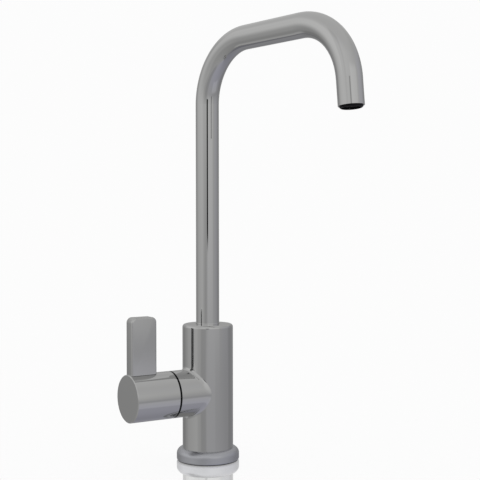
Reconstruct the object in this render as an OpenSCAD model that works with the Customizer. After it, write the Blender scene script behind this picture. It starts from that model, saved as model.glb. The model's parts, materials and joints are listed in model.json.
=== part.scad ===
/* [Spout] */
// Outside diameter of the spout tube
tube_d = 16; // [14:0.5:17]
// Wall of the spout tube
tube_wall = 0.8; // [0.6:0.1:1.2]
// Height of the level run above the deck, at its centre line
run_h = 286.2; // [275:1:310]
// Height of the middle of the tube's open end
outlet_h = 233.2; // [205:1:238]
// Distance from the body's axis to the middle of the open end
spout_reach = 137; // [120:1:165]
// Radius of both bends, at the centre line
bend_r = 41; // [34:1:43]
// Lean of the outlet leg away from the body, in degrees
leg_lean = 5.5; // [0:0.5:8]
// Turn of the spout from straight ahead, in degrees
spout_turn = 7.5; // [-20:0.5:20]

/* [Nozzle] */
// Length of the nozzle housing inside the tube
nozzle_l = 14; // [12:0.5:16]
// How far the nozzle's nose stands out of the tube
nose_l = 1.4; // [0.5:0.1:3]
// How much the nose narrows, on the radius
nose_taper = 0.4; // [0.1:0.1:0.8]
// Wall of the nozzle housing
nozzle_wall = 1.2; // [0.8:0.1:1.6]
// Thickness of the flow straightener
straightener_t = 4; // [3:0.5:6]
// Depth of the straightener's face inside the nose
straightener_inset = 1.6; // [1:0.1:3]
// Diameter of each of the straightener's channels
channel_d = 1.5; // [1:0.1:1.7]
// Spacing of the straightener's channels
channel_pitch = 2.1; // [2:0.1:2.6]
// Thickness of the nozzle's flat seal
nozzle_seal_t = 2; // [1.5:0.1:3]

/* [Body] */
// Diameter of the body
body_d = 35; // [34:0.5:37]
// Height of the body's flat top above the deck
body_h = 94.2; // [93:0.5:110]
// Radius of the soft rim round the body's top
rim_round = 2; // [0.5:0.1:3]
// Diameter of the body's foot inside the flange
foot_d = 31.8; // [31:0.1:32.4]
// Height of the shoulder that rests on the flange's ledge
ledge_h = 3; // [2:0.1:4]
// Depth to which the tube stands in the body
tube_insert = 10; // [9:0.5:11]
// Height of the plain lip at the mouth of the spout's socket
socket_lip = 2.4; // [1.5:0.1:3]
// Wall between the valve chamber and the spout's socket
socket_floor_t = 3.4; // [2.5:0.1:4]

/* [Base flange] */
// Diameter of the base flange
flange_d = 43.2; // [42.6:0.2:50]
// Height of the flange's top above the deck
flange_h = 8.7; // [7.5:0.1:11]
// Radius of the flange's upper edge
flange_top_round = 4.1; // [1:0.1:4.5]
// Radius of the flange's lower edge
flange_low_round = 0.9; // [0.3:0.1:1.2]
// Thickness of the seal under the flange
gasket_t = 0.5; // [0.4:0.1:1]
// Diameter of the seal under the flange
gasket_d = 41.6; // [38:0.2:42]

/* [Fixings] */
// Core diameter of the M8 thread for the fixing stud
stud_hole_d = 6.8; // [6.6:0.1:6.9]
// Depth of the stud's hole
stud_depth = 16; // [12:0.5:22]
// Core diameter of the M10 fine thread of the inlet
inlet_hole_d = 9; // [8.8:0.1:9.2]
// Depth of the inlet's thread
inlet_depth = 12; // [9:0.5:15]
// Distance of the inlet from the body's axis
inlet_offset = 9.7; // [9.4:0.1:10]
// Diameter of the upright inlet passage
inlet_bore_d = 6.4; // [6:0.1:7]
// Diameter of the passages to and from the valve chamber
port_d = 5.6; // [4:0.1:5.8]

/* [Handle] */
// Height of the handle's axis above the deck
handle_h = 47.6; // [44:0.2:49]
// Diameter of the body's side boss
boss_d = 32; // [31.4:0.1:33]
// Distance from the body's axis to the boss's face
boss_reach = 28.9; // [28:0.1:31]
// Thickness of the black ring between boss and hub
slip_ring_t = 0.6; // [0.4:0.1:1]
// Depth of the black ring below the boss's surface
slip_ring_recess = 0.6; // [0.3:0.1:0.8]
// Width of the black ring on the radius
slip_ring_w = 2.1; // [1.6:0.1:2.2]
// Running clearance between the black ring and the hub
hub_clearance = 0.3; // [0.2:0.1:0.6]
// Diameter of the hub
hub_d = 32; // [31.4:0.1:33]
// Distance from the body's axis to the hub's end face
hub_reach = 61.6; // [60.2:0.2:66]
// Side wall of the hub
hub_wall = 1.8; // [1.4:0.1:2]
// End wall of the hub
hub_end_t = 3.5; // [2:0.1:4]
// Bevel of the hub's rims
hub_bevel = 0.5; // [0.2:0.1:1]
// Depth of the hub's open front, where the headwork stands
hub_mouth = 9.8; // [9.4:0.1:12]
// Outside diameter of the hub's inner core
hub_core_d = 18.4; // [17:0.2:20]

/* [Paddle] */
// Width of the paddle along the handle's axis
paddle_w = 18.5; // [15:0.5:19]
// Thickness of the paddle
paddle_t = 9; // [7.8:0.1:11]
// Height of the paddle's top above the deck
paddle_top_h = 101.5; // [90:0.5:130]
// Distance from the paddle's outer side to the hub's end face
paddle_setback = 1.2; // [0.5:0.1:1.5]
// Radius of the paddle's two top corners
paddle_corner = 5; // [2:0.1:5]
// Radius of the paddle's long edges
paddle_edge = 1.2; // [0.4:0.1:2]
// How far the paddle's foot is set in from its sides
paddle_foot_inset = 1; // [0.5:0.1:1.2]
// Diameter of the stud between paddle and hub
paddle_stud_d = 6; // [5:0.5:6]
// Length of the stud inside the paddle
paddle_stud_up = 10; // [8:0.5:14]
// Wall between the stud's hole and the spline sleeve
paddle_stud_floor = 0.9; // [0.6:0.1:1.5]

/* [Valve] */
// Depth of the valve chamber behind the boss's face
chamber_depth = 30.5; // [30:0.1:32]
// Diameter of the valve chamber
chamber_d = 19; // [18.6:0.1:19.4]
// Core diameter of the headwork's thread
thread_d = 21; // [20.4:0.1:22]
// Length of the headwork's thread
thread_l = 10; // [8:0.5:11]
// Diameter of the ceramic discs' bore
disc_bore_d = 14; // [13.6:0.1:14.2]
// Thickness of each ceramic disc
disc_t = 3; // [2.5:0.1:3.2]
// Thickness of the rubber seat
seat_t = 2.6; // [2:0.1:3]
// Width of the rubber seat on the radius
seat_w = 1.5; // [1.2:0.1:1.8]
// How far the rubber seat stands proud of the headwork
seat_proud = 0.4; // [0.2:0.1:0.8]
// Width of the gallery round the headwork's neck
gallery_w = 1.5; // [1.2:0.1:1.6]
// Angle of each port in the ceramic discs, in degrees
port_angle = 70; // [50:1:76]
// Thickness of the spindle's driver flange
driver_t = 3; // [2.5:0.1:3.5]
// Width of the driver's tongue
tongue_w = 3; // [2:0.1:3.2]
// Height of the driver's tongue
tongue_h = 1.2; // [0.8:0.1:1.5]
// Diameter of the spindle
spindle_d = 8; // [7.6:0.1:8.4]
// Distance from the body's axis to the spindle's end
spindle_reach = 50; // [48:0.2:50.6]
// Number of teeth of the spline
spline_teeth = 20; // [16:1:24]
// Depth of the spline's teeth
spline_depth = 0.4; // [0.3:0.05:0.5]
// Width across the flats of the headwork's hexagon
hex_af = 22; // [21.6:0.1:23]
// Thickness of the headwork's hexagon
hex_t = 4.5; // [4:0.1:4.8]
// Height of the headwork's stop ring
stop_t = 2.5; // [2.2:0.1:3]
// Quarter turn of the handle, in degrees
handle_travel = 90; // [60:1:100]
// Width of the stop lug, in degrees
lug_angle = 40; // [30:1:60]
// Margin between lug and stop at each end, in degrees
lug_margin = 3; // [2:0.5:6]
// Diameter of the hub's grub screw
grub_d = 5; // [4:0.5:5]
// Depth of the grub screw below the hub's surface
grub_recess = 1.4; // [0.8:0.1:2]
// Distance from the hub's core to the grub screw's middle
grub_place = 4.6; // [4:0.1:5]

/* [Spout bearing] */
// Thickness of the washer that carries the spout
washer_t = 1; // [0.8:0.1:1.4]
// Height of the split glide ring
glide_h = 3.4; // [3:0.1:4]
// Section diameter of the spout's seals
spout_seal_d = 1.9; // [1.6:0.1:2]
// Height of the upper bush
bush_h = 5.4; // [4:0.1:5.6]
// Wall of the upper bush
bush_wall = 1.2; // [1:0.1:1.5]
// Diameter of the set screw that keeps the spout in
set_screw_d = 4; // [3.5:0.5:4]
// Diameter of the set screw's tip
set_tip_d = 2.6; // [2:0.1:2.8]

/* [Hidden] */
$fn = 96;
// Cuts run this far past the faces they open
over = 1;
// The leaning leg is this much thinner than the bend, and sunk this far into it, for a clean union
seam = 0.03;
seam_sink = 0.5;

// Clearances
// Radial play of a shaft in its bore
running_gap = 0.05;
// Film between two faces that slide on each other
face_film = 0.05;
// Play of the spindle along its axis
spindle_play = 0.2;
// Gap between moving pieces that only pass each other
pass_gap = 0.4;
// Play of the teeth of the spline
spline_play = 0.04;
// Radial play of the tube in the spout's socket
socket_play = 0.3;
// Gap between the turning disc and the headwork's bore
disc_gap = 0.3;
// Gap between the set screw's tip and the floor of its groove
tip_gap = 0.3;

// Radii
tube_r = tube_d / 2;
tube_bore_r = tube_r - tube_wall;
body_r = body_d / 2;
foot_r = foot_d / 2;
flange_r = flange_d / 2;
boss_r = boss_d / 2;
hub_r = hub_d / 2;
cavity_r = hub_r - hub_wall;
core_r = hub_core_d / 2;
chamber_r = chamber_d / 2;
thread_r = thread_d / 2;
disc_bore_r = disc_bore_d / 2;
neck_r = chamber_r - gallery_w;
spindle_r = spindle_d / 2;
hex_r = hex_af / 2 / cos(30);
moving_disc_r = disc_bore_r - disc_gap;

// Spout, measured in the spout's own plane
riser_top_z = run_h - bend_r;
leg_l = (riser_top_z + bend_r * sin(leg_lean) - outlet_h) / cos(leg_lean);
run_l = spout_reach - bend_r - bend_r * cos(leg_lean) - leg_l * sin(leg_lean);
tube_foot_z = body_h - tube_insert;

// Spout's socket and bearings, from the chamber up
socket_r = tube_r + socket_play;
socket_floor_z = handle_h + chamber_r + socket_floor_t;
stem_r = socket_r - pass_gap;
stem_wall = 2.2;
stem_bore_r = tube_bore_r - stem_wall;
washer_inset = 0.9;
stem_z = socket_floor_z + washer_t + face_film;
stem_spigot_l = 8;
ring_r = socket_r - running_gap;
glide_wall = 1.35;
seal_groove_h = spout_seal_d + 0.5;
seal_floor_r = ring_r - spout_seal_d;
set_groove_h = set_tip_d + 2 * pass_gap;
set_groove_depth = 1.4;
set_groove_r = stem_r - set_groove_depth;

// The lands of the stem, from its foot up to the tube, share the height that its grooves leave
land_parts = [0.7, 1.5, 1.5, 1.5, 5.85];
land_sum = land_parts * [1, 1, 1, 1, 1];
lands = land_parts * (tube_foot_z - stem_z - glide_h - 2 * seal_groove_h - set_groove_h) / land_sum;
glide_z = stem_z + lands[0];
seal_z = glide_z + glide_h + lands[1] + seal_groove_h / 2;
seal_pitch = seal_groove_h + lands[2];
set_z = seal_z + seal_pitch + seal_groove_h / 2 + lands[3] + set_groove_h / 2;
set_recess = 0.6;
set_shoulder = 0.1;
bush_r = tube_r + running_gap + bush_wall;
bush_play = 0.2;
bush_z = body_h - socket_lip - bush_h - bush_play;
bush_slit = 1.2;

// Valve, measured along its axis from the body's axis
floor_u = boss_reach - chamber_depth;
fixed_u = floor_u + seat_t;
moving_u = fixed_u + disc_t + face_film;
driver_u = moving_u + disc_t;
shoulder_u = driver_u + driver_t + spindle_play;
land_u = shoulder_u + 1;
thread_u = boss_reach - thread_l;
stop_u = boss_reach + hex_t;
housing_seal_d = 2;
housing_seal_u = (land_u + thread_u) / 2;
housing_seal_groove = housing_seal_d + 0.4;
stop_ring_room = 2.4;
stop_ring_w = 2.4;
stop_ring_in_r = spindle_r + stop_ring_room;
stop_ring_out_r = stop_ring_in_r + stop_ring_w;
stop_washer_r = stop_ring_in_r - pass_gap;
lug_r = stop_ring_out_r - 0.2;
spline_r = spindle_r - 0.1;
spline_u = stop_u + 0.3;
stop_washer_t = stop_t - 0.6;
clip_u = spline_u + stop_washer_t;
clip_t = 0.8;
clip_in_r = spindle_r - 0.8;
clip_w = 1.8;
clip_gap_angle = 60;
spindle_seal_d = 1.2;
spindle_seal_groove = spindle_seal_d + 0.3;
spindle_seal_step = 3.5;
spindle_seal_u = shoulder_u + 3;
key_w = 3;
port_core_r = 1.75;

// Handle
hub_u = boss_reach + slip_ring_t + hub_clearance;
core_u = hub_u + hub_mouth;
cavity_end_u = hub_reach - hub_end_t;
insert_wall = 2.5;
insert_spare = 2;
insert_r = spindle_r + insert_wall;
insert_end_u = spindle_reach + insert_spare;
grub_boss_wall = 1.6;
grub_u = core_u + grub_place;
paddle_end_u = hub_reach - paddle_setback;
paddle_mid_u = paddle_end_u - paddle_w / 2;
paddle_foot_z = handle_h + hub_r;
stud_low = insert_r + paddle_stud_floor;

// Chamber's passages: the outlet starts this far from the chamber's floor
outlet_margin = 0.3;
outlet_u = floor_u + port_d / 2 + outlet_margin;
inlet_top = 1;

// Nozzle
nozzle_hole_r = tube_bore_r - nozzle_wall;
nozzle_step = 1;
channel_rim = 0.4;

// The upper round of the flange is limited by the flange's width
flange_top = min(flange_top_round, flange_r - body_r);

// Turns the valve's axis, drawn along +Z, to the handle's side
module on_valve_axis() {
    translate([0, 0, handle_h]) rotate([0, -90, 0]) children();
}

// Turns the plane of the spout, drawn in X and Z, to its resting direction
module in_spout_plane() {
    rotate([0, 0, spout_turn - 90]) children();
}

// Origin at the middle of the tube's open end, +Z along the flow
module at_outlet() {
    in_spout_plane() translate([spout_reach, 0, outlet_h]) rotate([0, 180 - leg_lean, 0]) children();
}

// Quarter of a circle in the first quadrant
module quarter(r) {
    intersection() {
        circle(r);
        square(r + over);
    }
}

// Turned drum from z0 to z1 with soft outer edges
module soft_drum(r, z0, z1, top, low) {
    rotate_extrude() {
        translate([0, z0 + low]) square([r, z1 - z0 - top - low]);
        translate([0, z1 - top]) square([r - top, top]);
        translate([r - top, z1 - top]) quarter(top);
        if (low > 0) {
            translate([0, z0]) square([r - low, low]);
            translate([r - low, z0 + low]) mirror([0, 1]) quarter(low);
        }
    }
}

// Plain ring from z0, h high
module ring(r_out, r_in, z0, h) {
    translate([0, 0, z0]) difference() {
        cylinder(r = r_out, h = h);
        translate([0, 0, -over]) cylinder(r = r_in, h = h + 2 * over);
    }
}

// Ring of round section: its outer edge is at r_out
module seal_ring(r_out, section_d, z) {
    translate([0, 0, z]) rotate_extrude() translate([r_out - section_d / 2, 0]) circle(d = section_d);
}

// Turned groove, cut from outside down to r_floor
module groove(r_out, r_floor, z_mid, h) {
    ring(r_out + over, r_floor, z_mid - h / 2, h);
}

// Flat sector from r_in to r_out, its middle at angle mid
module sector(mid, width, r_in, r_out) {
    intersection() {
        difference() {
            circle(r_out);
            circle(r_in);
        }
        polygon([[0, 0], for (k = [-1, 0, 1]) 2 * r_out * [cos(mid + k * width / 2), sin(mid + k * width / 2)]]);
    }
}

// Outline of a toothed shaft: teeth reach tip_r
module spline_outline(tip_r) {
    step = 360 / spline_teeth;
    polygon([for (i = [0 : spline_teeth - 1], k = [0 : 3])
        let (r = k < 2 ? tip_r : tip_r - spline_depth, a = (i + [-0.2, 0.2, 0.32, 0.68][k]) * step)
        r * [cos(a), sin(a)]]);
}

// Rectangle with corners of radius r at its top, and low at its foot
module soft_plate(w, h, top, low) {
    translate([-w / 2, low]) square([w, h - top - low]);
    translate([-w / 2 + top, h - top]) square([w - 2 * top, top]);
    translate([-w / 2 + low, 0]) square([w - 2 * low, low]);
    for (s = [0, 1]) mirror([s, 0]) {
        translate([w / 2 - top, h - top]) quarter(top);
        translate([w / 2 - low, low]) mirror([0, 1]) quarter(low);
    }
}

// Round bar with a hexagon socket in its outer end, which is at z = 0, and its tip at z = l
module socket_screw(d, l, tip_d, tip_l, key_af) {
    difference() {
        union() {
            cylinder(d = d, h = l - tip_l);
            cylinder(d = tip_d, h = l);
        }
        translate([0, 0, -over]) cylinder(d = key_af / cos(30), h = over + d / 2, $fn = 6);
    }
}

// Upright casting with the valve chamber, the spout's socket and the waterways
module tap_body() {
    color("gray") difference() {
        union() {
            cylinder(r = foot_r, h = ledge_h + over);
            soft_drum(body_r, ledge_h, body_h, rim_round, 0);
            on_valve_axis() cylinder(r = boss_r, h = boss_reach);
        }
        translate([0, 0, socket_floor_z]) cylinder(r = socket_r, h = body_h);
        translate([0, 0, bush_z]) cylinder(r = bush_r, h = bush_h + bush_play);
        on_valve_axis() {
            translate([0, 0, floor_u]) cylinder(r = chamber_r, h = chamber_depth);
            translate([0, 0, thread_u]) cylinder(r = thread_r, h = thread_l + over);
            translate([0, 0, -inlet_offset]) cylinder(d = port_d, h = inlet_offset + floor_u + over);
        }
        translate([-outlet_u, 0, handle_h]) cylinder(d = port_d, h = socket_floor_z - handle_h + over);
        translate([inlet_offset, 0, -over]) cylinder(d = inlet_hole_d, h = inlet_depth + over);
        translate([inlet_offset, 0, inlet_depth - over])
            cylinder(d = inlet_bore_d, h = handle_h + port_d / 2 + inlet_top - inlet_depth + over);
        translate([0, 0, -over]) cylinder(d = stud_hole_d, h = stud_depth + over);
        translate([0, 0, set_z]) rotate([-90, 0, 0]) cylinder(d = set_screw_d, h = body_r + over);
    }
}

// Rounded ring that the body stands in
module base_flange() {
    color("gray") difference() {
        soft_drum(flange_r, gasket_t, flange_h, flange_top, flange_low_round);
        cylinder(r = foot_r, h = ledge_h + over);
        translate([0, 0, ledge_h]) cylinder(r = body_r, h = flange_h);
    }
}

// Flat seal between flange and deck
module base_gasket() {
    color("black") ring(gasket_d / 2, foot_r, 0, gasket_t);
}

// Headwork: neck with windows round the discs, threaded land, hexagon and stop ring
module valve_housing() {
    notch = handle_travel + lug_angle + 2 * lug_margin;
    color("goldenrod") on_valve_axis() difference() {
        union() {
            translate([0, 0, floor_u + seat_proud]) cylinder(r = neck_r, h = land_u - floor_u - seat_proud);
            translate([0, 0, land_u]) cylinder(r = chamber_r, h = thread_u - land_u);
            translate([0, 0, thread_u]) cylinder(r = thread_r, h = thread_l);
            translate([0, 0, boss_reach]) cylinder(r = hex_r, h = hex_t, $fn = 6);
            translate([0, 0, stop_u - over]) rotate_extrude(start = lug_angle / 2 + lug_margin, angle = 360 - notch)
                translate([stop_ring_in_r, 0]) square([stop_ring_out_r - stop_ring_in_r, stop_t + over]);
        }
        translate([0, 0, floor_u]) cylinder(r = disc_bore_r, h = shoulder_u - floor_u);
        cylinder(r = spindle_r + running_gap, h = stop_u + over);
        translate([-neck_r - over, -neck_r / 2, moving_u])
            cube([2 * (neck_r + over), neck_r, driver_u + driver_t / 2 - moving_u]);
        translate([-key_w / 2, -neck_r - over, floor_u])
            cube([key_w, 2 * (neck_r + over), fixed_u + disc_t - floor_u]);
        groove(chamber_r, chamber_r - housing_seal_d, housing_seal_u, housing_seal_groove);
    }
}

// Rubber ring that closes the headwork on the chamber's floor
module valve_seat_seal() {
    color("black") on_valve_axis() ring(disc_bore_r, disc_bore_r - seat_w, floor_u, seat_t);
}

// Ceramic disc with two ports, held by two ears in the headwork's slots
module fixed_disc() {
    color("white") on_valve_axis() translate([0, 0, fixed_u]) linear_extrude(disc_t) difference() {
        union() {
            circle(disc_bore_r);
            square([key_w, 2 * neck_r], center = true);
        }
        for (mid = [0, 180]) sector(mid, port_angle, port_core_r, disc_bore_r - seat_w);
    }
}

// Seal between headwork and chamber
module housing_o_ring() {
    color("black") on_valve_axis() seal_ring(chamber_r, housing_seal_d, housing_seal_u);
}

// Black ring on the boss's face
module hub_slip_ring() {
    ring_out_r = boss_r - slip_ring_recess;
    color("black") on_valve_axis() ring(ring_out_r, ring_out_r - slip_ring_w, boss_reach, slip_ring_t);
}

// Split bearing ring under the lip of the spout's socket
module upper_bush() {
    color("ivory") difference() {
        ring(bush_r, tube_r + running_gap, bush_z, bush_h);
        translate([0, -bush_slit / 2, bush_z - over]) cube([bush_r + over, bush_slit, bush_h + 2 * over]);
    }
}

// Washer on the socket's floor, which carries the spout
module thrust_washer() {
    color("ivory") ring(socket_r, stem_bore_r + washer_inset, socket_floor_z, washer_t);
}

// Screw at the rear whose tip runs in the stem's groove
module spout_set_screw() {
    outer = body_r - set_recess;
    tip = set_groove_r + tip_gap;
    color("dimgray") translate([0, outer, set_z]) rotate([90, 0, 0])
        socket_screw(set_screw_d, outer - tip, set_tip_d, socket_r + set_shoulder - tip, set_screw_d / 2);
}

// Section of the spout tube
module tube_section() {
    difference() {
        circle(tube_r);
        circle(tube_bore_r);
    }
}

// Bent tube of the spout: riser, bend, level run, bend and leaning leg, all hollow
module spout_tube() {
    color("silver") {
        in_spout_plane() {
            translate([0, 0, tube_foot_z]) linear_extrude(riser_top_z - tube_foot_z) tube_section();
            translate([bend_r, 0, riser_top_z]) rotate([90, 0, 0])
                rotate_extrude(start = 90, angle = 90) translate([bend_r, 0]) tube_section();
            translate([bend_r, 0, run_h]) rotate([0, 90, 0]) linear_extrude(run_l) tube_section();
            translate([bend_r + run_l, 0, riser_top_z]) rotate([90, 0, 0])
                rotate_extrude(start = leg_lean, angle = 90 - leg_lean) translate([bend_r, 0]) tube_section();
        }
        at_outlet() ring(tube_r - seam, tube_bore_r + seam, -leg_l - seam_sink, leg_l + seam_sink);
    }
}

// End piece in the tube's foot, grooved for seals, glide ring and set screw
module spout_stem() {
    color("goldenrod") difference() {
        union() {
            translate([0, 0, stem_z]) cylinder(r = stem_r, h = tube_foot_z - stem_z);
            translate([0, 0, tube_foot_z]) cylinder(r = tube_bore_r, h = stem_spigot_l);
        }
        translate([0, 0, stem_z - over]) cylinder(r = stem_bore_r, h = body_h);
        groove(stem_r, ring_r - glide_wall, glide_z + glide_h / 2, glide_h);
        for (i = [0, 1]) groove(stem_r, seal_floor_r, seal_z + i * seal_pitch, seal_groove_h);
        groove(stem_r, set_groove_r, set_z, set_groove_h);
    }
}

// Split ring that centres the stem
module glide_ring() {
    color("ivory") in_spout_plane() difference() {
        ring(ring_r, ring_r - glide_wall, glide_z, glide_h);
        translate([0, -bush_slit / 2, glide_z - over]) cube([ring_r + over, bush_slit, glide_h + 2 * over]);
    }
}

// Two seals on the stem
module spout_o_rings() {
    color("black") for (i = [0, 1]) seal_ring(ring_r, spout_seal_d, seal_z + i * seal_pitch);
}

// Black insert in the tube's open end
module nozzle_housing() {
    color("black") at_outlet() difference() {
        union() {
            translate([0, 0, -nozzle_l]) cylinder(r = tube_bore_r, h = nozzle_l);
            cylinder(r1 = tube_bore_r, r2 = tube_bore_r - nose_taper, h = nose_l);
        }
        translate([0, 0, -nozzle_l - over]) cylinder(r = nozzle_hole_r - nozzle_step, h = nozzle_l + nose_l + 2 * over);
        translate([0, 0, nose_l - straightener_inset - straightener_t])
            cylinder(r = nozzle_hole_r, h = straightener_inset + straightener_t + over);
    }
}

// Disc with a honeycomb of round channels
module flow_straightener() {
    reach = nozzle_hole_r - channel_d / 2 - channel_rim;
    rows = floor(reach / channel_pitch);
    color("dimgray") at_outlet() translate([0, 0, nose_l - straightener_inset - straightener_t])
        linear_extrude(straightener_t) difference() {
            circle(nozzle_hole_r);
            for (i = [-rows : rows], j = [-rows : rows]) {
                place = channel_pitch * [i + j / 2, j * sin(60)];
                if (norm(place) <= reach) translate(place) circle(d = channel_d, $fn = 24);
            }
        }
}

// Flat seal above the nozzle housing
module nozzle_gasket() {
    color("black") at_outlet()
        ring(tube_bore_r, tube_bore_r - 2 * nozzle_wall, -nozzle_l - nozzle_seal_t, nozzle_seal_t);
}

// Drum of the handle: thin shell, inner core and two ribs
module handle_hub() {
    color("gray") on_valve_axis() difference() {
        translate([0, 0, hub_u]) rotate_extrude() polygon([
            [0, 0], [hub_r - hub_bevel, 0], [hub_r, hub_bevel],
            [hub_r, hub_reach - hub_u - hub_bevel], [hub_r - hub_bevel, hub_reach - hub_u], [0, hub_reach - hub_u]]);
        translate([0, 0, hub_u - over]) cylinder(r = cavity_r, h = hub_mouth + over);
        difference() {
            ring(cavity_r, core_r, core_u - over, cavity_end_u - core_u + over);
            translate([core_r - over, -paddle_stud_d, paddle_mid_u - paddle_stud_d])
                cube([hub_r - core_r, 2 * paddle_stud_d, cavity_end_u - paddle_mid_u + paddle_stud_d]);
            translate([-hub_r, 0, grub_u]) rotate([0, 90, 0]) cylinder(d = grub_d + 2 * grub_boss_wall, h = hub_r - core_r + over);
        }
        translate([0, 0, core_u - over]) cylinder(r = insert_r, h = insert_end_u - core_u + over);
        translate([stud_low, 0, paddle_mid_u]) rotate([0, 90, 0]) cylinder(d = paddle_stud_d, h = hub_r);
        translate([-hub_r - over, 0, grub_u]) rotate([0, 90, 0]) cylinder(d = grub_d, h = hub_r);
    }
}

// Flat lever with soft corners and edges, on a narrower foot that fits the hub
module handle_paddle() {
    height = paddle_top_h - paddle_foot_z;
    color("silver") translate([-paddle_mid_u, 0, 0]) difference() {
        union() {
            intersection() {
                translate([0, paddle_t / 2, paddle_foot_z]) rotate([90, 0, 0])
                    linear_extrude(paddle_t) soft_plate(paddle_w, height, paddle_corner, paddle_edge);
                translate([-paddle_w / 2, 0, paddle_foot_z]) rotate([90, 0, 90])
                    linear_extrude(paddle_w) soft_plate(paddle_t, height, paddle_edge, paddle_edge / 2);
                translate([0, -paddle_t / 2, paddle_foot_z])
                    linear_extrude(height) soft_plate(paddle_w, paddle_t, paddle_edge, paddle_edge);
            }
            translate([-paddle_w / 2 + paddle_foot_inset, -paddle_t / 2 + paddle_foot_inset, handle_h])
                cube([paddle_w - 2 * paddle_foot_inset, paddle_t - 2 * paddle_foot_inset, hub_r + over]);
        }
        translate([-paddle_w, 0, handle_h]) rotate([0, 90, 0]) cylinder(r = hub_r, h = 2 * paddle_w);
        translate([0, 0, handle_h]) cylinder(d = paddle_stud_d, h = hub_r + paddle_stud_up);
    }
}

// Stud that joins hub and paddle
module paddle_stud() {
    color("dimgray") translate([-paddle_mid_u, 0, handle_h + stud_low])
        cylinder(d = paddle_stud_d, h = hub_r + paddle_stud_up - stud_low);
}

// Screw from below that holds the hub on the spindle
module hub_grub_screw() {
    outer = hub_r - grub_recess;
    color("dimgray") on_valve_axis() translate([-outer, 0, grub_u]) rotate([0, 90, 0])
        socket_screw(grub_d, outer - spindle_r, grub_d - 1, 1, grub_d / 2);
}

// Sleeve in the hub's core with the inner spline
module spline_insert() {
    color("goldenrod") on_valve_axis() difference() {
        translate([0, 0, core_u]) cylinder(r = insert_r, h = insert_end_u - core_u);
        translate([0, 0, core_u - over]) linear_extrude(insert_end_u - core_u + 2 * over)
            spline_outline(spline_r + spline_play);
        translate([-insert_r - over, 0, grub_u]) rotate([0, 90, 0]) cylinder(d = grub_d, h = insert_r + over);
    }
}

// Spindle with driver flange, tongue, seal grooves, spline and clip groove
module valve_spindle() {
    color("goldenrod") on_valve_axis() difference() {
        union() {
            translate([0, 0, driver_u]) cylinder(r = moving_disc_r, h = driver_t);
            translate([-moving_disc_r + over, -tongue_w / 2, driver_u - tongue_h])
                cube([2 * (moving_disc_r - over), tongue_w, tongue_h + over]);
            translate([0, 0, driver_u]) cylinder(r = spindle_r, h = spline_u - driver_u);
            translate([0, 0, spline_u]) linear_extrude(spindle_reach - spline_u) spline_outline(spline_r);
        }
        for (i = [0, 1]) groove(spindle_r, spindle_r - spindle_seal_d,
            spindle_seal_u + i * spindle_seal_step, spindle_seal_groove);
        groove(spindle_r, clip_in_r, clip_u + clip_t / 2, clip_t);
    }
}

// Ceramic disc with two open notches, turned by the spindle's tongue
module rotating_disc() {
    color("white") on_valve_axis() translate([0, 0, moving_u]) difference() {
        linear_extrude(disc_t) difference() {
            circle(moving_disc_r);
            for (mid = [90, 270]) sector(mid, port_angle, port_core_r, disc_bore_r + over);
        }
        translate([-moving_disc_r + over, -tongue_w / 2, disc_t - tongue_h])
            cube([2 * (moving_disc_r - over), tongue_w, tongue_h + over]);
    }
}

// Keyed washer whose lug meets the headwork's stop ring
module stop_washer() {
    color("goldenrod") on_valve_axis() translate([0, 0, spline_u]) linear_extrude(stop_washer_t) difference() {
        union() {
            circle(stop_washer_r);
            sector(0, lug_angle, spindle_r + 1, lug_r);
        }
        spline_outline(spline_r);
    }
}

// Open ring that keeps the stop washer on
module spindle_circlip() {
    color("dimgray") on_valve_axis() translate([0, 0, clip_u])
        rotate_extrude(start = clip_gap_angle / 2, angle = 360 - clip_gap_angle)
            translate([clip_in_r, 0]) square([clip_w, clip_t]);
}

// Two seals on the spindle
module spindle_o_rings() {
    color("black") on_valve_axis() for (i = [0, 1])
        seal_ring(spindle_r, spindle_seal_d, spindle_seal_u + i * spindle_seal_step);
}

tap_body();
base_flange();
base_gasket();
valve_housing();
valve_seat_seal();
fixed_disc();
housing_o_ring();
hub_slip_ring();
upper_bush();
thrust_washer();
spout_set_screw();
spout_tube();
spout_stem();
glide_ring();
spout_o_rings();
nozzle_housing();
flow_straightener();
nozzle_gasket();
handle_hub();
handle_paddle();
paddle_stud();
hub_grub_screw();
spline_insert();
valve_spindle();
rotating_disc();
stop_washer();
spindle_circlip();
spindle_o_rings();
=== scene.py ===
# %% [markdown]
# # A slim drinking-water tap
#
# The model comes in finished as solids: the body, the bent spout, the hub with its lever, and the valve
# inside. This lesson dresses it. It finds the camera that took the photograph, sets up a white studio, gives
# each solid a finish built from nodes, and adds the soft shapes that solid modelling left sharp.
#
# Everything is in metres. The body's axis is the Z axis, and the deck is the plane at height zero.

import json
import math

import bmesh
import bpy
from mathutils import Matrix, Vector
from mathutils.geometry import interpolate_bezier


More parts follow.
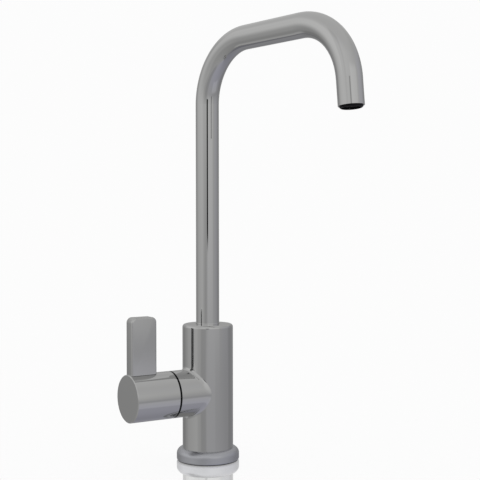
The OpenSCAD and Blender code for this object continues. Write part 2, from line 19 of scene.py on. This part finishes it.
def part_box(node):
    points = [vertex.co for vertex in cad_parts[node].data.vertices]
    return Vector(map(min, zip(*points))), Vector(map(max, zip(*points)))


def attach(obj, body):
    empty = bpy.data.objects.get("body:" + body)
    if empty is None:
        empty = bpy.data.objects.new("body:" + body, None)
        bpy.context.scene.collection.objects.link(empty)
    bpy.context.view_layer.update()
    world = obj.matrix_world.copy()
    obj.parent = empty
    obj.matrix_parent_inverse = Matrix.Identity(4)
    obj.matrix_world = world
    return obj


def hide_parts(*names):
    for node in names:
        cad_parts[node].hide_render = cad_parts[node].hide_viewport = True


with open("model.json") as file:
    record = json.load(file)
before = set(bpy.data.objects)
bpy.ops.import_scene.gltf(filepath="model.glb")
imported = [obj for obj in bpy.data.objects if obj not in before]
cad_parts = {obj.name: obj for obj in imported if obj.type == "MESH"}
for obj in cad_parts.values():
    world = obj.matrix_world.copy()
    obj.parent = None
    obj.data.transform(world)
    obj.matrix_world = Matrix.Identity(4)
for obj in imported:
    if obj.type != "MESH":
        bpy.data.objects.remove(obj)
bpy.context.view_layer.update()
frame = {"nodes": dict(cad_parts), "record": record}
MM = 0.001
nodes = frame["nodes"]

# %% [markdown]
# ## The camera
#
# A photograph fixes its own camera. Here the camera's place was found by matching the tap's edges, and it
# stands as a direction round the tap, a distance and a height. A long lens keeps the tall spout free of
# distortion. The three small turns aim it a little off the axis, as the photographer did.

# %% Place the camera
CAMERA_SIDE = math.radians(-30.5076)
CAMERA_DISTANCE = 0.698817
CAMERA_HEIGHT = 0.168274
CAMERA_YAW = math.radians(1.8427)
CAMERA_PITCH = math.radians(-1.3238)
CAMERA_ROLL = math.radians(-0.07)
LENS_MM = 75.75
SENSOR_MM = 36

camera_data = bpy.data.cameras.new("studio_camera")
camera_data.lens = LENS_MM
camera_data.sensor_width = SENSOR_MM
camera = bpy.data.objects.new("studio_camera", camera_data)
bpy.context.scene.collection.objects.link(camera)
bpy.context.scene.camera = camera
camera_right = Vector((math.cos(CAMERA_SIDE), math.sin(CAMERA_SIDE), 0))
to_camera = Vector((math.sin(CAMERA_SIDE), -math.cos(CAMERA_SIDE), 0))
place = to_camera * CAMERA_DISTANCE
place.z = CAMERA_HEIGHT
aim = Matrix.Rotation(CAMERA_SIDE - CAMERA_YAW, 4, "Z")
aim = aim @ Matrix.Rotation(math.pi / 2 + CAMERA_PITCH, 4, "X") @ Matrix.Rotation(CAMERA_ROLL, 4, "Z")
camera.matrix_world = Matrix.Translation(place) @ aim
print("camera at", [round(v, 3) for v in place])

# %% [markdown]
# ## Node trees as sums
#
# A material is a graph of nodes. Wiring each Math node by hand hides the idea, so one small class holds a
# node's output and turns Python's own signs into Math nodes: `1 - mask` adds a Subtract node. Every other
# node comes from a single method, which sets the node's options first and its sockets second.

# %% A socket that can be added and multiplied
class Wire:
    def __init__(self, graph, socket):
        self.graph = graph
        self.socket = socket

    def __add__(self, other):
        return self.graph.maths("ADD", self, other)

    def __sub__(self, other):
        return self.graph.maths("SUBTRACT", self, other)

    def __rsub__(self, other):
        return self.graph.maths("SUBTRACT", other, self)

    def __mul__(self, other):
        return self.graph.maths("MULTIPLY", self, other)

    def __truediv__(self, other):
        return self.graph.maths("DIVIDE", self, other)

    __radd__ = __add__
    __rmul__ = __mul__


print("wires can be added, subtracted, multiplied and divided")


# %% A graph that makes nodes
class Graph:
    def __init__(self, owner):
        owner.use_nodes = True
        self.tree = owner.node_tree
        self.tree.nodes.clear()

    def add(self, kind, settings=None, inputs=None, output=0):
        node = self.tree.nodes.new(kind)
        for name, value in (settings or {}).items():
            setattr(node, name, value)
        for name, value in (inputs or {}).items():
            if isinstance(value, Wire):
                self.tree.links.new(value.socket, node.inputs[name])
            else:
                node.inputs[name].default_value = value
        return Wire(self, node.outputs[output]) if node.outputs else None

    def maths(self, operation, *values):
        return self.add("ShaderNodeMath", {"operation": operation}, dict(enumerate(values)))

    def smooth(self, value, low, high):
        return self.add("ShaderNodeMapRange", {"interpolation_type": "SMOOTHSTEP"},
                        {"Value": value, "From Min": low, "From Max": high})

    def mix_shader(self, share, first, second):
        return self.add("ShaderNodeMixShader", {}, {0: share, 1: first, 2: second})


print("node helpers ready")

# %% [markdown]
# ## The studio
#
# Polished metal has no look of its own: it shows the room. The tap was photographed in a white tent, and its
# reflections say where the tent was bright. The left and the front were bright, the right and the back
# were dimmer, the table top showed as a cooler grey, and the camera looked in through a dark gap.
# A ring of softboxes could give this, but lamps near a mirror-like tube show their edges. A world whose
# light depends on direction is softer, and it costs nothing to render.
#
# First come the directions. Round the room, zero is the camera's side and positive is to its right, and the
# height is the angle above the horizon, both in degrees. The world isn't sampled as a lamp, because such a
# sample doesn't know which kind of ray it stands for, and this world answers each kind in its own way.

# %% Directions in the tent
world = bpy.data.worlds.new("white_tent")
bpy.context.scene.world = world
world.cycles.sampling_method = "NONE"
tent = Graph(world)
direction = tent.add("ShaderNodeTexCoord", output="Generated")


def along(axis):
    return tent.add("ShaderNodeVectorMath", {"operation": "DOT_PRODUCT"}, {0: direction, 1: axis}, "Value")


across, toward, rise = along(camera_right), along(to_camera), along(Vector((0, 0, 1)))
level_length = tent.maths("SQRT", across * across + toward * toward)
right, front = across / level_length, toward / level_length
side = tent.maths("ARCTAN2", across, toward) * math.degrees(1)
height = tent.maths("ARCSINE", rise) * math.degrees(1)
print("nodes for the directions:", len(tent.tree.nodes))

# %% [markdown]
# ## Wall, ceiling and table
#
# The tent is a wall with a ceiling above it and a table below, and soft lines between them. The wall and the
# table have a mean level, what the camera's side adds to it, and what the right side adds.

# %% Levels of the tent
WALL = (0.835, 0.086, -0.09)
TABLE = (0.553, 0.103, 0.012)
CEILING = 0.845
TABLE_TO_WALL = (-13, 18.8)
WALL_TO_CEILING = (40, 65)


def round_the_room(mean, by_front, by_right):
    return front * by_front + right * by_right + mean


above_table = tent.smooth(height, *TABLE_TO_WALL)
overhead = tent.smooth(height, *WALL_TO_CEILING)
wall = round_the_room(*WALL) * (1 - overhead) + overhead * CEILING
table = round_the_room(*TABLE)
tent_level = wall * above_table + table * (1 - above_table)
print("level of the wall at the camera's side:", round(WALL[0] + WALL[1], 3))

# %% [markdown]
# ## Seams and panels
#
# Patches add the seams, panels and dark lines that show on the metal. Each has its middle and half width
# round the room, its lowest and highest angle, its softness and its change of level.

# %% Patches of light and shade
HALF_TURN = 180.0
PANELS = {
    "far side": (180, 75, -30, 25, 10, -0.098),
    "back wall": (180, 60, 3, 26, 4, -0.12),
    "table left of the camera": (-19, 12, -60, 4, 5, -0.116),
    "wall right of the camera": (28, 27, -6, 30, 6, 0.135),
    "light strip on the table": (-136, 12, -50, -30, 5, 0.17),
    "lamp panel on the left": (-85, 39, -28, 41, 8, 0.118),
    "seam beside the panel": (-53, 14, 11, 55, 6, -0.121),
    "line where wall meets table": (66, 32, -13.5, -7.5, 2, -0.04),
    "lit strip of the table": (60, 24, -38, -16, 3, 0.13),
    "seam above the camera": (-8, 5, 11, 17.5, 1.5, -0.35),
}


def patch(middle, half_width, low, high, soft):
    turned = tent.maths("WRAP", side - middle, HALF_TURN, -HALF_TURN)
    reach = tent.maths("ABSOLUTE", turned)
    inside = 1 - tent.smooth(reach, half_width - soft, half_width + soft)
    above = tent.smooth(height, low - soft, low + soft)
    below = 1 - tent.smooth(height, high - soft, high + soft)
    return inside * above * below


for *shape, change in PANELS.values():
    tent_level = tent_level + patch(*shape) * change
print("panels:", len(PANELS))

# %% [markdown]
# ## First and later reflections
#
# The steel of this scene is a little darker than real steel in a dimmer tent, so light that has already met
# two pieces of it would come out too dark. The tent is brighter for those rays. They don't see the camera's
# gap either, since a second look at it would only scatter dots over the small rounds. The world counts as
# one more bounce, so the light of a first reflection has a ray depth of two.

# %% The camera's gap and the second look
CAMERA_GAP = (0, 6.5, -1.5, 9, 0.7)
GAP_DARKNESS = 0.97
SECOND_LOOK = 0.3
FIRST_DEPTH = 2
SECOND_DEPTH = 3


def light_path(output):
    return tent.add("ShaderNodeLightPath", output=output)


later = tent.smooth(light_path("Ray Depth"), FIRST_DEPTH, SECOND_DEPTH)
tent_level = tent_level * (1 - patch(*CAMERA_GAP) * (1 - later) * GAP_DARKNESS)
tent_level = tent_level * (later * SECOND_LOOK + 1)
print("tent nodes:", len(tent.tree.nodes))

# %% [markdown]
# ## The colour of the tent
#
# The wall is a faintly warm white. The table is cooler on the camera's right, most of all straight down, and
# a patch of the right wall takes some of its colour.

# %% Warm wall and cool table
WALL_COLOUR = (1.0, 1.0, 0.99, 1)
TABLE_COLOUR = (0.955, 0.958, 1.087, 1)
COOL_BELOW = (-55, 10)
COOL_TO_THE_RIGHT = (-0.8, 0.3)
COOL_WALL = (98, 30, -5, 35, 10)
COOL_WALL_SHARE = 0.4
MIX_COLOUR_A, MIX_COLOUR_B, MIX_COLOUR_RESULT = 6, 7, 2

cool = (1 - tent.smooth(height, *COOL_BELOW)) * tent.smooth(right, *COOL_TO_THE_RIGHT)
cool = cool + patch(*COOL_WALL) * COOL_WALL_SHARE
tent_colour = tent.add("ShaderNodeMix", {"data_type": "RGBA"},
                       {0: cool, MIX_COLOUR_A: WALL_COLOUR, MIX_COLOUR_B: TABLE_COLOUR}, MIX_COLOUR_RESULT)
print("wall", WALL_COLOUR[:3], "table", TABLE_COLOUR[:3])

# %% [markdown]
# ## Three answers of the world
#
# The camera, and the floor's mirror image, see a plain white backdrop. Glossy rays see the tent. All other
# rays find a plain level of one, at which a colour renders as it is written.

# %% Answer each kind of ray
WHITE = 0.975
PURE_WHITE = (1, 1, 1, 1)
PLAIN_LEVEL = 1.0


def background(colour, strength):
    return tent.add("ShaderNodeBackground", {}, {"Color": colour, "Strength": strength})


tent_light = background(tent_colour, tent_level)
plain_light = background(PURE_WHITE, PLAIN_LEVEL)
backdrop = background(PURE_WHITE, WHITE)
sees_backdrop = tent.maths("MAXIMUM", light_path("Is Camera Ray"), light_path("Is Singular Ray"))
world_light = tent.mix_shader(light_path("Is Glossy Ray"), plain_light, tent_light)
world_light = tent.mix_shader(sees_backdrop, world_light, backdrop)
tent.add("ShaderNodeOutputWorld", {}, {"Surface": world_light})
bpy.context.scene.view_settings.view_transform = "Standard"
print("world nodes:", len(tent.tree.nodes))

# %% [markdown]
# ## The floor
#
# The tap stands on a sheet of glossy white acrylic. It is white by its own colour and shows a mirror image
# of the foot, stronger at a flat angle, which is what a Fresnel node gives. Its roughness of zero makes the
# mirrored rays singular, and that is how the world knows them. Light also comes through the sheet from
# below, so the shadow where the flange meets it is faint: part of its white is a glow, and the diffuse rest
# keeps the shadow. The metal doesn't reflect the sheet, because the tent has a table of its own. A disc
# made by one bmesh operator is enough.

# %% Make the floor
FLOOR_RADIUS = 6.0
FLOOR_SEGMENTS = 96
FLOOR_IOR = 3.1
FLOOR_GLOW = 0.85
FLOOR_MIRROR = 1.8
SHEET_COLOUR = (WHITE, WHITE, WHITE, 1)

floor_mesh = bpy.data.meshes.new("floor")
bm = bmesh.new()
bmesh.ops.create_circle(bm, cap_ends=True, segments=FLOOR_SEGMENTS, radius=FLOOR_RADIUS)
bm.to_mesh(floor_mesh)
bm.free()
floor = bpy.data.objects.new("floor", floor_mesh)
bpy.context.scene.collection.objects.link(floor)
acrylic = bpy.data.materials.new("white_acrylic")
sheet = Graph(acrylic)
glow = sheet.add("ShaderNodeEmission", {}, {"Color": SHEET_COLOUR, "Strength": 1.0})
matt = sheet.add("ShaderNodeBsdfDiffuse", {}, {"Color": SHEET_COLOUR})
gloss = sheet.add("ShaderNodeBsdfGlossy", {}, {"Color": PURE_WHITE, "Roughness": 0.0})
mirror_share = sheet.add("ShaderNodeFresnel", {}, {"IOR": FLOOR_IOR}) * FLOOR_MIRROR
surface = sheet.mix_shader(mirror_share, sheet.mix_shader(FLOOR_GLOW, matt, glow), gloss)
sheet.add("ShaderNodeOutputMaterial", {}, {"Surface": surface})
floor_mesh.materials.append(acrylic)
floor.visible_glossy = False
print("floor radius", FLOOR_RADIUS)

# %% [markdown]
# ## Finishes
#
# Each finish is a Principled shader with some life in it. Real metal is never evenly smooth: polishing
# leaves faint lines, and handling leaves cloudy patches that change only the gloss. The lines are a fine
# noise fed to a Bump node. Stretching it along one axis gives straight lines, leaving it even gives the
# grain of rubber, and reading it by radius and height gives the rings of a turned piece. The clouds are a
# large noise on Roughness. Both read Object coordinates, so that they stay on the piece when it moves.

# %% A helper for finishes
LINE_SCALE = 3000.0
LINE_DETAIL = 2.0
LINE_HEIGHT = 0.02 * MM
CLOUD_SCALE = 45.0
CLOUD_DETAIL = 3.0


def straight_lines(graph, point, run):
    return graph.add("ShaderNodeMapping", {}, {"Vector": point, "Scale": run})


def turned_lines(graph, point):
    x, y, z = (graph.add("ShaderNodeSeparateXYZ", {}, {"Vector": point}, axis) for axis in "XYZ")
    return graph.add("ShaderNodeCombineXYZ", {}, {"X": graph.maths("SQRT", x * x + y * y), "Z": z})


def noise(graph, point, scale, detail):
    return graph.add("ShaderNodeTexNoise", {}, {"Vector": point, "Scale": scale, "Detail": detail})


def finish(name, colour, roughness, metallic=0.0, cloud=0.0, grain=0.0, run=None, gloss=0.5):
    material = bpy.data.materials.new(name)
    graph = Graph(material)
    point = graph.add("ShaderNodeTexCoord", output="Object")
    sockets = {"Base Color": (*colour, 1), "Roughness": roughness, "Metallic": metallic,
               "Specular IOR Level": gloss}
    if cloud:
        patches = noise(graph, point, CLOUD_SCALE, CLOUD_DETAIL)
        sockets["Roughness"] = patches * cloud + (roughness - cloud / 2)
    if grain:
        point = straight_lines(graph, point, run) if run else turned_lines(graph, point)
        lines = noise(graph, point, LINE_SCALE, LINE_DETAIL)
        sockets["Normal"] = graph.add("ShaderNodeBump", {}, {"Height": lines, "Strength": grain,
                                                             "Distance": LINE_HEIGHT})
    shader = graph.add("ShaderNodeBsdfPrincipled", {}, sockets)
    graph.add("ShaderNodeOutputMaterial", {}, {"Surface": shader})
    return material


print("lines about", round(1 / LINE_SCALE / MM, 2), "mm apart")

# %% [markdown]
# ## The tap's metals, plastics and rubber
#
# Body, hub and spout share one satin steel. The flange has the rings of a turned piece and a softer gloss,
# so it has a finish of its own, and its steel is painted a little darker and bluer: painted shade and a
# painted reflection of the cool table. Inside are machined brass and steel, black rubber, black, grey and
# pale plastic, and ceramic. The black and grey plastic of the outlet are painted darker than their own
# colours, as painted shade.

# %% Give each solid its finish
STEEL = (0.41, 0.41, 0.41)
# The flange's steel is darker and bluer than the body's: painted shade and a painted reflection of the cool
# table.
FLANGE_SHADED_BLUE_STEEL = (0.38, 0.385, 0.41)
ALL_WAYS = (1, 1, 1)
UPRIGHT = (1, 1, 0.02)
materials = {
    "brushed_metal": finish("satin_metal", STEEL, 0.035, 1.0, cloud=0.02, grain=0.04, run=UPRIGHT),
    "valve_brass": finish("turned_brass", (0.72, 0.56, 0.3), 0.28, 1.0, cloud=0.08),
    "screw_steel": finish("screw_steel", (0.5, 0.5, 0.5), 0.25, 1.0, cloud=0.08),
    "black_rubber": finish("seal_rubber", (0.02, 0.02, 0.02), 0.6, cloud=0.1, grain=0.3, run=ALL_WAYS),
    # Partly painted shade: the nozzle is black plastic, painted darker still and with little gloss for the
    # shade under the outlet.
    "black_plastic": finish("black_plastic", (0.006, 0.006, 0.007), 0.3, cloud=0.1, gloss=0.05),
    # Painted shade: the straightener's grey plastic is painted nearly black, with little gloss, for the
    # shade deep inside the outlet.
    "grey_plastic": finish("grey_plastic", (0.02, 0.02, 0.02), 0.5, cloud=0.1, gloss=0.05),
    "pale_plastic": finish("pale_acetal", (0.85, 0.83, 0.76), 0.4, cloud=0.1),
    "white_ceramic": finish("lapped_ceramic", (0.9, 0.9, 0.88), 0.15, cloud=0.05),
}
for row in frame["record"]["subparts"]:
    nodes[row["node"]].data.materials[0] = materials[row["material_slot"]]
# The flange's rings and softer gloss are its own; its darker, bluer colour is painted shade and painted
# reflection.
flange_painted_shade_finish = finish("turned_flange_painted_shade", FLANGE_SHADED_BLUE_STEEL, 0.36, 1.0, cloud=0.08, grain=0.1)
nodes["base_flange"].data.materials[0] = flange_painted_shade_finish
print("finishes:", len(materials) + 1)

# %% [markdown]
# ## From bmesh to piece
#
# Each new piece is drawn as a bmesh and then handed over in the same way: its normals are put right, it is
# shaded smooth except across sharp edges, and it is told which body it moves with and which finish it has.

# %% A helper for pieces
SHARP_ANGLE = math.radians(35)


def corners_of(node):
    return [Vector(corner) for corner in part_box(node)]


def ring_of(bm, points):
    verts = [bm.verts.new(point) for point in points]
    return [bm.edges.new((verts[i - 1], verts[i])) for i in range(len(verts))]


def new_piece(name, bm, slot_name, body):
    bmesh.ops.recalc_face_normals(bm, faces=bm.faces)
    for face in bm.faces:
        face.smooth = True
    for edge in bm.edges:
        edge.smooth = len(edge.link_faces) == 2 and edge.calc_face_angle() < SHARP_ANGLE
    mesh = bpy.data.meshes.new(name)
    bm.to_mesh(mesh)
    bm.free()
    piece = bpy.data.objects.new(name, mesh)
    bpy.context.scene.collection.objects.link(piece)
    mesh.materials.append(materials[slot_name])
    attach(piece, body)
    print(name, "faces:", len(mesh.polygons))
    return piece


print("piece helpers ready")

# %% [markdown]
# ## The soft joint between body and boss
#
# The side boss and the body are one casting, and a polished casting has no sharp inner corner. The buffing
# wheel leaves a hollow that is tight above and below the boss. Beside it, where the two surfaces meet at a
# flat angle, the hollow is shallow and lies mostly on the boss, which rounds the boss's end. The sections
# follow the line where the cylinders meet. Each starts on one cylinder, ends on the other and is tangent to
# both, as a Bezier curve can be. The boss is as thick as the hub that turns on it.

# %% Sizes of the joint
hub_low, hub_high = corners_of("handle_hub")
BODY_R = corners_of("tap_body")[1].x
BOSS_R = (hub_high.z - hub_low.z) / 2
BOSS_Z = (hub_high.z + hub_low.z) / 2
JOINT_WIDTH = 2.1 * MM
MORE_ON_BOSS = 2.0 * MM
LESS_ON_BODY = 1.3 * MM
BESIDE_POWER = 3
JOINT_SINK = 0.3 * MM
JOINT_PULL = 0.6
JOINT_SECTIONS = 160
JOINT_STEPS = 12
ANGLE_STEP = 0.01
print("radii of body and boss in mm:", round(BODY_R / MM, 2), round(BOSS_R / MM, 2))


# %% Curves across the joint
def meeting_point(angle):
    point = Vector((0, math.sin(angle), math.cos(angle))) * BOSS_R
    point.x = -math.sqrt(BODY_R ** 2 - point.y ** 2)
    return point


def body_normal(point):
    return Vector((point.x, point.y, 0)).normalized()


def boss_normal(point):
    return Vector((0, point.y, point.z)).normalized()


def start_on(surface_normal, radius, corner, tangent, away, width):
    step = surface_normal(corner).cross(tangent).normalized() * width
    step = step if step.dot(away) > 0 else -step
    point = corner + step
    normal = surface_normal(point)
    point = point + normal * (radius - point.dot(normal))
    pull = corner - point
    pull = (pull - normal * pull.dot(normal)).normalized() * step.length * JOINT_PULL
    return point, point + pull


def joint_section(angle):
    corner = meeting_point(angle)
    beside = abs(math.sin(angle)) ** BESIDE_POWER
    tangent = (meeting_point(angle + ANGLE_STEP) - meeting_point(angle - ANGLE_STEP)).normalized()
    on_boss, boss_handle = start_on(boss_normal, BOSS_R, corner, tangent, Vector((-1, 0, 0)),
                                    JOINT_WIDTH + beside * MORE_ON_BOSS)
    on_body, body_handle = start_on(body_normal, BODY_R, corner, tangent, boss_normal(corner),
                                    JOINT_WIDTH - beside * LESS_ON_BODY)
    curve = interpolate_bezier(on_boss, boss_handle, body_handle, on_body, JOINT_STEPS + 1)
    sunk = corner - (body_normal(corner) + boss_normal(corner)) * JOINT_SINK
    return [Vector(point) + Vector((0, 0, BOSS_Z)) for point in curve + [sunk]]


print("points in a section:", len(joint_section(0)))

# %% [markdown]
# ## Sections bridged into a ring
#
# Each section is closed by a point inside the metal, and the bridge operator joins it to the next one. The
# last section meets the first, so the ring has no ends.

# %% Bridge the sections of the joint
bm = bmesh.new()
rings = [ring_of(bm, joint_section(math.tau * i / JOINT_SECTIONS)) for i in range(JOINT_SECTIONS)]
for i in range(JOINT_SECTIONS):
    bmesh.ops.bridge_loops(bm, edges=rings[i - 1] + rings[i])
new_piece("boss_joint_round", bm, "brushed_metal", "body")

# %% [markdown]
# ## The lever
#
# The lever is a thick plate of cast metal, ground and polished until its edges are soft. Its two upper
# corners have a large round and every edge has a smaller one, which catches a pale line of light. Three
# bevels make it from a box: the corners, the long edges all round them, and a finer one at the foot. The
# foot is then set in and drawn down into the hub, and the gap round it shows as the dark line there. The
# lever was brushed more than the body, so its finish is softer.

# %% Sizes of the lever
LEVER_CORNER = 3.6 * MM
LEVER_CORNER_SEGMENTS = 14
LEVER_EDGE = 1.2 * MM
LEVER_EDGE_SEGMENTS = 8
LEVER_FOOT_EDGE = 0.3 * MM
LEVER_FOOT_SEGMENTS = 4
LEVER_FOOT_INSET = 1.0 * MM
LEVER_FOOT_DEPTH = 1.5 * MM
LEVER_SINK = 0.55 * MM
SHORTEST_CROSSING = 1.0 * MM
LEVEL_PLAY = 0.01 * MM

lever_low, lever_high = corners_of("handle_paddle")
lever_low.z = hub_high.z - LEVER_SINK
print("lever height above the hub", round((lever_high.z - hub_high.z) / MM, 2))


# %% Bevel a box into the lever
def bevel_edges(bm, chosen, offset, segments):
    edges = [edge for edge in bm.edges if chosen(edge)]
    bmesh.ops.bevel(bm, geom=edges, offset=offset, segments=segments, profile=0.5, affect="EDGES",
                    material=-1)


def is_level(edge, level):
    return all(abs(vert.co.z - level) < LEVEL_PLAY for vert in edge.verts)


def crosses(edge):
    return abs(edge.verts[0].co.y - edge.verts[1].co.y) > SHORTEST_CROSSING


bm = bmesh.new()
bmesh.ops.create_cube(bm, size=1)
for vert in bm.verts:
    vert.co = [high if co > 0 else low for co, low, high in zip(vert.co, lever_low, lever_high)]
bevel_edges(bm, lambda edge: is_level(edge, lever_high.z) and crosses(edge), LEVER_CORNER,
            LEVER_CORNER_SEGMENTS)
bevel_edges(bm, lambda edge: not crosses(edge) and not is_level(edge, lever_low.z), LEVER_EDGE,
            LEVER_EDGE_SEGMENTS)
bevel_edges(bm, lambda edge: is_level(edge, lever_low.z), LEVER_FOOT_EDGE, LEVER_FOOT_SEGMENTS)
sole = min(bm.faces, key=lambda face: face.calc_center_median().z)
bmesh.ops.inset_region(bm, faces=[sole], thickness=LEVER_FOOT_INSET)
foot = bmesh.ops.extrude_discrete_faces(bm, faces=[sole])["faces"][0]
bmesh.ops.translate(bm, verts=foot.verts, vec=(0, 0, -LEVER_FOOT_DEPTH))
lever = new_piece("lever", bm, "brushed_metal", "handle")
lever.data.materials[0] = finish("brushed_lever", STEEL, 0.17, 1.0, cloud=0.06, grain=0.1, run=UPRIGHT)
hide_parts("handle_paddle")

# %% [markdown]
# ## The nozzle
#
# The moulded nozzle has a round lip, which a plain cone only hints at. Its section is drawn once, with the
# lip as a quarter of an ellipse, and spun into a ring, which is then set on the outlet's axis. Inside, a
# step carries the straightener.

# %% Section of the nozzle
NOZZLE_R = 7.2 * MM
NOZZLE_MOUTH_R = 6.0 * MM
NOZZLE_STEP_R = 5.0 * MM
NOZZLE_BACK = -14 * MM
NOZZLE_STEP = -4.2 * MM
NOZZLE_NOSE = 1.4 * MM
LIP_STEPS = 8
NOZZLE_SEGMENTS = 64

lip_turns = [math.pi / 2 * i / LIP_STEPS for i in range(LIP_STEPS + 1)]
lip = [(NOZZLE_MOUTH_R + (NOZZLE_R - NOZZLE_MOUTH_R) * math.cos(turn), NOZZLE_NOSE * math.sin(turn))
       for turn in lip_turns]
section = [(NOZZLE_R, NOZZLE_BACK), *lip, (NOZZLE_MOUTH_R, NOZZLE_STEP), (NOZZLE_STEP_R, NOZZLE_STEP),
           (NOZZLE_STEP_R, NOZZLE_BACK)]
print("points in the nozzle's section:", len(section))

# %% Spin the nozzle and set it in the outlet
SPOUT_TURN = math.radians(7.5)
SPOUT_REACH = 137 * MM
OUTLET_HEIGHT = 233.2 * MM
LEG_LEAN = math.radians(5.5)

bm = bmesh.new()
loop = ring_of(bm, [(radius, 0, level) for radius, level in section])
bmesh.ops.spin(bm, geom=bm.verts[:] + loop, cent=(0, 0, 0), axis=(0, 0, 1), angle=math.tau,
               steps=NOZZLE_SEGMENTS, use_merge=True)
outlet = Matrix.Rotation(SPOUT_TURN - math.pi / 2, 4, "Z")
outlet = outlet @ Matrix.Translation((SPOUT_REACH, 0, OUTLET_HEIGHT))
outlet = outlet @ Matrix.Rotation(math.pi - LEG_LEAN, 4, "Y")
bmesh.ops.transform(bm, matrix=outlet, verts=bm.verts)
nozzle = new_piece("nozzle", bm, "black_plastic", "spout")
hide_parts("nozzle_housing")
